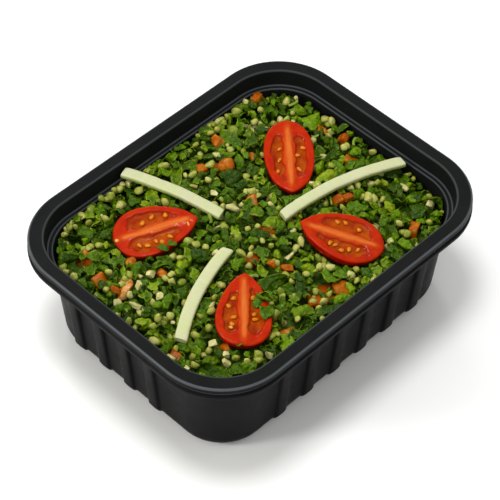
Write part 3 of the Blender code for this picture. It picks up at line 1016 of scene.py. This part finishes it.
def make_loose_pieces(toppings):
    rng = np.random.default_rng(11)
    heap = Heap(toppings)
    total = 3200
    names = ("leaf", "grain", "dice", "onion", "stem")
    kinds = rng.choice(5, total, p=(0.792, 0.158, 0.012, 0.022, 0.016))
    leaf_sizes = np.clip(rng.lognormal(math.log(6.6), 0.36, total), 3.0, 12.0)
    leaf_shapes, leaf_flat = leaves(rng, total, leaf_sizes)
    shapes = {
        "leaf": leaf_shapes,
        "grain": grains(rng, total, np.clip(rng.normal(3.8, 0.6, total), 2.4, 5.0)),
        "dice": dice(rng, total, np.clip(rng.normal(5.4, 1.0, total), 3.5, 6.4)),
        "onion": dice(rng, total, np.clip(rng.normal(3.9, 0.8, total), 2.4, 5.6), (0.35, 0.6)),
        "stem": stems(rng, total),
    }
    sinks = {"leaf": (0.5, 1.8), "grain": (1.3, 3.4), "dice": (1.6, 3.0), "onion": (0.5, 1.5),
             "stem": (0.4, 1.2)}
    lean = turns(rng, total, 38.0)
    roll = turns(rng, total, 70.0)
    kept = {name: [] for name in names}
    tags = {name: [] for name in names}
    for n, (x, y, size) in enumerate(DICE_SPOTS):
        shape = dice(rng, 1, np.array([size * 1.15]), (0.6, 0.85))[0] @ turns(rng, 1, 16.0)[0].T
        stands = float(heap_height(x * MM, y * MM)) + rng.uniform(1.2, 2.4) * MM
        points = shape + np.array([x * MM, y * MM, stands - shape[:, 2].max()])
        heap.settle(points)
        kept["dice"].append(points)
        tags["dice"].append(n)
    for k in range(total):
        kind = names[kinds[k]]
        turn = lean[k] if kind == "leaf" else roll[k]
        shape = shapes[kind][k] @ turn.T
        sink = rng.uniform(*sinks[kind]) * MM
        points = None
        for _ in range(12):
            spot = heap.lowest_spot(rng, 8 if k < total * 0.7 else 30)
            points = heap.drop(shape, spot, sink)
            if points is not None:
                break
        if points is None or points[:, 2].mean() > heap_height(spot[0], spot[1]) + 2.0 * MM:
            continue
        heap.settle(points)
        kept[kind].append(points)
        tags[kind].append(k)

    scraps, scraps_flat = make_scraps(np.random.default_rng(SCRAP_SEED), toppings)
    tags = {kind: np.array(found) for kind, found in tags.items()}
    shade = np.clip(rng.normal(0.5, 0.22, total), 0, 1)
    # Leaf surfaces: share, then dark, middle and light tones and the lighter colour painted on leaf rims as a
    # highlight.
    surfaces = (
        ("parsley_deep", 0.26, (tone(34, 56, 0), tone(52, 81, 0), tone(72, 103, 1),
                                tone(100, 128, 14))),
        ("parsley_green", 0.30, (tone(44, 67, 0), tone(67, 99, 1), tone(91, 125, 3),
                                 tone(118, 146, 26))),
        ("parsley_bright", 0.26, (tone(53, 78, 1), tone(82, 114, 2), tone(110, 142, 8),
                                  tone(138, 160, 38))),
        ("parsley_light", 0.18, (tone(68, 92, 2), tone(100, 128, 5), tone(134, 152, 20),
                                 tone(152, 168, 52))),
    )
    per_leaf = leaf_shapes.shape[1]
    pick = rng.choice(4, len(kept["leaf"]), p=[share for _, share, _ in surfaces])
    for group, (name, _, colours) in enumerate(surfaces):
        chosen = np.flatnonzero(pick == group)
        numbers = tags["leaf"][chosen]
        group_shapes = [kept["leaf"][c] for c in chosen]
        group_shade, group_flat = shade[numbers], leaf_flat[numbers]
        if name == "parsley_green":
            group_shapes += scraps
            group_shade = np.concatenate([group_shade, np.full(len(scraps), 0.62)])
            group_flat = np.concatenate([group_flat, scraps_flat])
        values = {"shade": np.repeat(group_shade, per_leaf), "leaf": group_flat.reshape(-1, 3)}
        joined(name, group_shapes, leaf_template(), parsley_surface(name, *colours), values)
    values = {"shade": np.repeat(shade[tags["grain"]], len(BALL_BASE))}
    joined("bulgur_grains", kept["grain"], BALL_FACES, bulgur_surface(), values)
    values = {"shade": np.repeat(shade[tags["dice"]], len(DICE_BASE))}
    joined("tomato_dice", kept["dice"], DICE_FACES, dice_surface(), values)
    joined("onion_bits", kept["onion"], DICE_FACES,
           pale_surface("onion", tone(170, 170, 96), tone(206, 198, 140)), {}, sharp=40)
    joined("stem_bits", kept["stem"], tube_template(),
           pale_surface("stem", tone(104, 138, 28), tone(156, 176, 72)), {}, sharp=50)


# ---------------------------------------------------------------- tomato halves

def make_tomato(number, half, surface, seeds, rng):
    """A half with a sunken seed well on each side of its core, and glossy skin below."""
    around, across = 144, 40
    theta = np.arange(around) * 2 * np.pi / around
    along = np.cos(theta)
    half_length = half["length"] * MM / 2
    edge_x = along * half_length
    edge_y = np.sign(np.sin(theta)) * half_width(half, along)
    edge_y[np.abs(along) > 0.99999] = 0
    reach = (np.arange(1, across + 1) / across) ** 0.85
    x = reach[:, None] * edge_x[None]
    y = reach[:, None] * edge_y[None]
    wide = half_width(half, np.clip(x / half_length, -1, 1)) / MM
    sway = rng.uniform(-0.8, 0.8)
    x_mm, y_mm = x / MM, y / MM
    length_mm = half["length"]
    core_line = sway * np.sin(np.pi * x_mm / length_mm * 1.3)
    core_half = 2.5 - 1.6 * (np.abs(x_mm) / (length_mm / 2)) ** 1.5
    ripple, warp = (np.array([[noise.noise(Vector((a, b, offset + 3.0 * number)) * size)
                               for a, b in zip(ra, rb)] for ra, rb in zip(x_mm, y_mm)])
                    for offset, size in ((0.0, 0.45), (40.0, 0.34)))
    wells = np.zeros_like(x)
    gel = np.zeros_like(x)
    places = []
    for side in (1, -1):
        shift = rng.uniform(-1.6, 1.2) - 0.8
        ends = rng.uniform(0.52, 0.63) * length_mm / 2
        inner = side * (y_mm - core_line) - core_half - rng.uniform(0.0, 0.4)
        outer = wide - 2.9 - rng.uniform(0, 0.5) - side * y_mm
        ahead = (ends - np.abs(x_mm - shift)) * 0.45
        depth = -np.log(np.exp(-1.8 * inner) + np.exp(-1.8 * outer) + np.exp(-1.8 * ahead)) / 1.8
        depth = depth + 1.0 * warp
        wells = np.maximum(wells, smoothstep(-0.5, 0.9, depth))
        gel = np.maximum(gel, smoothstep(-0.45, 0.75, depth))
        places.append((side, shift, ends))
    core = 1 - smoothstep(0.1, 1.7, np.abs(y_mm - core_line) / core_half)
    core = core * smoothstep(1.0, 0.72, np.abs(x_mm) / (length_mm / 2))
    z = (-1.25 * wells + 0.25 * core + 0.12 * ripple + 0.14 * wells * warp
         - 0.5 * smoothstep(0.95, 1.0, reach)[:, None] ** 2) * MM
    face_points = np.stack([x, y, z], axis=-1)

    downs = np.radians(np.array([0.6, 4, 9, 15, 22, 30, 38, 46, 54, 62, 70, 78, 85]))
    skin_rings = []
    for down in downs:
        shrink = math.cos(down)
        drop = math.sin(down)
        level = np.full(around, -0.5 * MM - drop * TOMATO_DEPTH * half["width"] * MM / 2)
        skin_rings.append(np.stack([edge_x * shrink, edge_y * shrink, level], axis=-1))
    skin_points = np.array(skin_rings)
    rings = np.concatenate([face_points, skin_points])
    verts = rings.reshape(-1, 3)
    verts = np.concatenate([verts, [[0, 0, 0.2 * MM]],
                            [[0, 0, -0.5 * MM - TOMATO_DEPTH * half["width"] * MM / 2]]])
    count = len(rings)
    quads = ring_faces(count, around)[:, ::-1]
    first = np.arange(around)
    last = (count - 1) * around + first
    faces = np.concatenate([triangles(quads), fan(len(verts) - 2, first),
                            fan(len(verts) - 1, last, flip=True)])
    zero = np.zeros((len(downs), around))
    values = {
        "skin": np.concatenate([np.zeros(across * around), np.ones(len(downs) * around), [0, 1]]),
        "well": np.concatenate([gel.ravel(), zero.ravel(), [0, 0]]),
        "core": np.concatenate([core.ravel(), zero.ravel(), [1, 0]]),
        "spot": verts.copy() + np.array([0, 0, 0.1 * number]),
    }
    placed = verts @ turn_of(half).T + np.array(half["middle"]) * MM
    piece = mesh_piece(f"tomato_half_{number}_flesh", placed, faces, surface, values, sharp=60)
    place(piece, "tomato", f"tomato_half_{number}")

    for side, shift, ends in places:
        amount = int(rng.integers(3, 6))
        for k in range(amount):
            part = (k + 0.5 + rng.uniform(-0.4, 0.4)) / amount
            seed_x = shift + (2 * part - 1) * ends * 0.72
            local_wide = float(half_width(half, np.array(seed_x * MM / half_length))) / MM
            room = max(local_wide - 3.6 - 3.0, 0.4)
            seed_y = side * (3.0 + room * rng.uniform(0.1, 0.9))
            size = np.array([rng.uniform(1.3, 1.8), rng.uniform(0.8, 1.1), 0.6]) * MM
            heading = side * math.pi / 2 * rng.uniform(0.2, 1.1) + rng.normal(0, 0.4)
            seeds.append(laid_seed(half, (seed_x, seed_y, -0.95), size, heading, 0.5, rng))
    for x, y, long, wide, heading in PALE_BITS[number]:
        spot = turn_of(half).T @ (np.array([x, y, half["middle"][2]]) - np.array(half["middle"]))
        seeds.append(laid_seed(half, (spot[0], spot[1], -0.05), np.array([long, wide, 0.5]) * MM / 2,
                               math.radians(heading), 1.0, rng))
    return piece


def laid_seed(half, spot, size, heading, tint, rng):
    """A tapered seed or fibre lying on the cut face, and its tint, paler where it rises."""
    taper = 1 - 0.35 * BALL_BASE[:, :1]
    shape = BALL_BASE * np.concatenate([np.ones_like(taper), taper, taper], axis=1)
    spin = np.array(Matrix.Rotation(heading, 3, "Z") @ Matrix.Rotation(rng.normal(0, 0.15), 3, "Y"))
    seed = (shape * size) @ spin.T + np.array(spot) * MM
    rise = tint * smoothstep(spot[2] * MM - 0.15 * MM, spot[2] * MM + 0.4 * MM, seed[:, 2])
    return seed @ turn_of(half).T + np.array(half["middle"]) * MM, rise


def make_tomatoes():
    rng = np.random.default_rng(5)
    surface = tomato_surface()
    seeds = []
    halves = [make_tomato(number, half, surface, seeds, rng)
              for number, half in enumerate(TOMATO_HALVES, 1)]
    joined("tomato_seeds", [s for s, _ in seeds], BALL_FACES, seed_surface(),
           {"rise": np.concatenate([r for _, r in seeds])}, slot="tomato")
    return halves


# ---------------------------------------------------------------- cabbage strips

def make_strip(number, strip, surface):
    start, turn, length = strip_frame(strip)
    steps, around = 90, 28
    angle = (np.arange(around) + 0.5) * 2 * np.pi / around
    power = 2 / 4.2
    section_y = np.sign(np.cos(angle)) * np.abs(np.cos(angle)) ** power * STRIP_WIDTH / 2
    section_z = np.sign(np.sin(angle)) * np.abs(np.sin(angle)) ** power * STRIP_THICKNESS / 2
    rings, edges, spots = [], [], []
    for k in range(steps + 1):
        part = k / steps
        x = part * length
        bow = 4 * part * (1 - part) * strip["bow"] * MM
        ripple = 1 + 0.035 * noise.noise(Vector((x / (3 * MM), 7.0 * number, 0)))
        end = min(part, 1 - part) * length
        close = 1 - 0.10 * math.exp(-end / (0.5 * MM))
        wobble = 0.25 * MM * noise.noise(Vector((x / (11 * MM), 3.0 * number, 5)))
        y = section_y * ripple * close + bow + wobble
        z = section_z * close + 0.2 * MM * noise.noise(Vector((x / (12 * MM), 9.0 * number, 1)))
        rings.append(np.stack([np.full(around, x), y, z], axis=1))
        edges.append(smoothstep(0.72, 1.0, np.abs(section_y) / (STRIP_WIDTH / 2))
                     * smoothstep(0.9, -0.6, section_z / (STRIP_THICKNESS / 2)))
        spots.append(np.stack([np.full(around, x), section_y, section_z], axis=1))
    verts = np.concatenate(rings + [[rings[0].mean(axis=0)], [rings[-1].mean(axis=0)]])
    faces = np.concatenate([triangles(ring_faces(steps + 1, around)[:, ::-1]),
                            fan(len(verts) - 2, np.arange(around)),
                            fan(len(verts) - 1, steps * around + np.arange(around), flip=True)])
    values = {"edge": np.concatenate(edges + [[0, 0]]),
              "spot": np.concatenate(spots + [[[0, 0, 0]], [[length, 0, 0]]])}
    placed = verts @ turn.T + start
    piece = mesh_piece(f"pale_strip_{number}", placed, faces, surface, values, sharp=50)
    place(piece, "cabbage", f"cabbage_strip_{number}")
    return piece


def make_strips():
    surface = strip_surface()
    return [make_strip(number, strip, surface) for number, strip in enumerate(STRIPS, 1)]


# ---------------------------------------------------------------- studio

CAMERA_PLACE = Vector((-0.4264, -0.4095, 0.7022))
CAMERA_RIGHT = Vector((0.7045, -0.7096, 0.0136))
CAMERA_UP = Vector((0.5253, 0.5342, 0.6623))
CAMERA_BACK = Vector((-0.4772, -0.4594, 0.7491))
CAMERA_LENS = 148.8


def add_light(name, place_at, size, watts, colour=(1, 1, 1), target=(0, 0, 0.03)):
    data = bpy.data.lights.new(name, "AREA")
    data.shape = "DISK"
    data.size = size
    data.energy = watts
    data.color = colour
    light = bpy.data.objects.new(name, data)
    light.location = place_at
    light.rotation_euler = (Vector(target) - Vector(place_at)).to_track_quat("-Z", "Y").to_euler()
    bpy.context.scene.collection.objects.link(light)
    return light


def make_studio():
    scene = bpy.context.scene
    floor_surface = Surface("pale_floor", Roughness=0.9)
    floor_surface.link(floor_surface.mix(floor_surface.noise(3.0), (0.90, 0.90, 0.90),
                                         (0.92, 0.92, 0.92)), "Base Color")
    bm = bmesh.new()
    bmesh.ops.create_grid(bm, x_segments=2, y_segments=2, size=4.0)
    mesh = bpy.data.meshes.new("studio_floor")
    bm.to_mesh(mesh)
    bm.free()
    mesh.materials.append(floor_surface.material)
    floor = bpy.data.objects.new("studio_floor", mesh)
    floor.location.z = -0.0004
    scene.collection.objects.link(floor)

    world = bpy.data.worlds.new("studio")
    world.use_nodes = True
    back = world.node_tree.nodes["Background"]
    back.inputs["Color"].default_value = (1.0, 1.0, 0.98, 1)
    back.inputs["Strength"].default_value = 0.73
    scene.world = world
    add_light("top_light", (-0.1, 0.1, 1.5), 0.45, 11, (1.0, 1.0, 0.99))
    add_light("left_light", (-1.2, 0.6, 0.8), 0.35, 9, (1.0, 0.98, 0.93))
    add_light("back_light", (0.7, 1.1, 0.8), 0.4, 3)

    camera = bpy.data.cameras.new("camera")
    camera.lens = CAMERA_LENS
    camera.sensor_width = 36.0
    camera.clip_start = 0.01
    eye = bpy.data.objects.new("camera", camera)
    eye.matrix_world = Matrix((
        (CAMERA_RIGHT.x, CAMERA_UP.x, CAMERA_BACK.x, CAMERA_PLACE.x),
        (CAMERA_RIGHT.y, CAMERA_UP.y, CAMERA_BACK.y, CAMERA_PLACE.y),
        (CAMERA_RIGHT.z, CAMERA_UP.z, CAMERA_BACK.z, CAMERA_PLACE.z),
        (0, 0, 0, 1),
    ))
    scene.collection.objects.link(eye)
    scene.camera = eye
    scene.view_settings.view_transform = "Standard"


def main():
    make_studio()
    make_tray()
    make_core()
    toppings = make_tomatoes() + make_strips()
    make_loose_pieces(toppings)


main()
